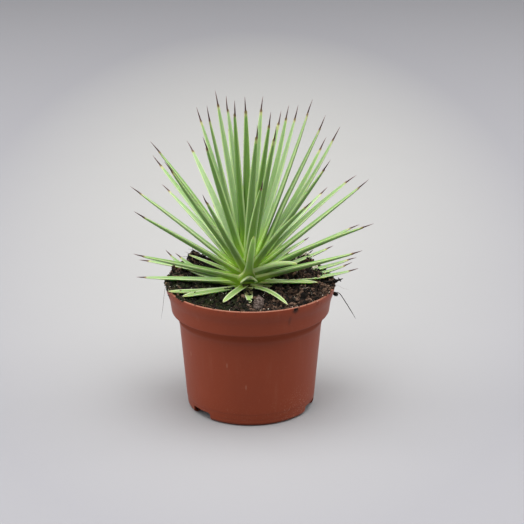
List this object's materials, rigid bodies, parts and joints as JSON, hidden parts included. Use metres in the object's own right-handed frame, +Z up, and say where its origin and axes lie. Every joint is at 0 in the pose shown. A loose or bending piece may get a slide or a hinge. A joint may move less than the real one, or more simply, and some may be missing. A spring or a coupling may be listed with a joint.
{
  "type": "potted agave",
  "caption": "Narrow-leaved agave rosette with dark terminal spines, growing in peat in a round plastic nursery pot with a banded rim.",
  "frame": {"origin": "on the floor under the middle of the pot, at the plane that the pot's foot ring stands on", "axes": "+Z up along the pot's axis; -Y towards the side that the picture shows, +X to that side's right"},
  "size_m": [0.148, 0.1284, 0.1996],
  "materials": {
    "pot_plastic": "terracotta-brown injection-moulded plastic, satin, lightly scuffed and dusty",
    "peat": "moist dark peat, crumbly and fibrous, matt",
    "leaf": "firm waxy green leaf with pale edges, yellow-green foot and dark brown spine",
    "bark": "weathered bark, rough and matt"
  },
  "bodies": {
    "root": {"pot": "pot_plastic", "soil": "peat", "rosette": "leaf", "bark_chip": "bark"}
  },
  "joints": []
}
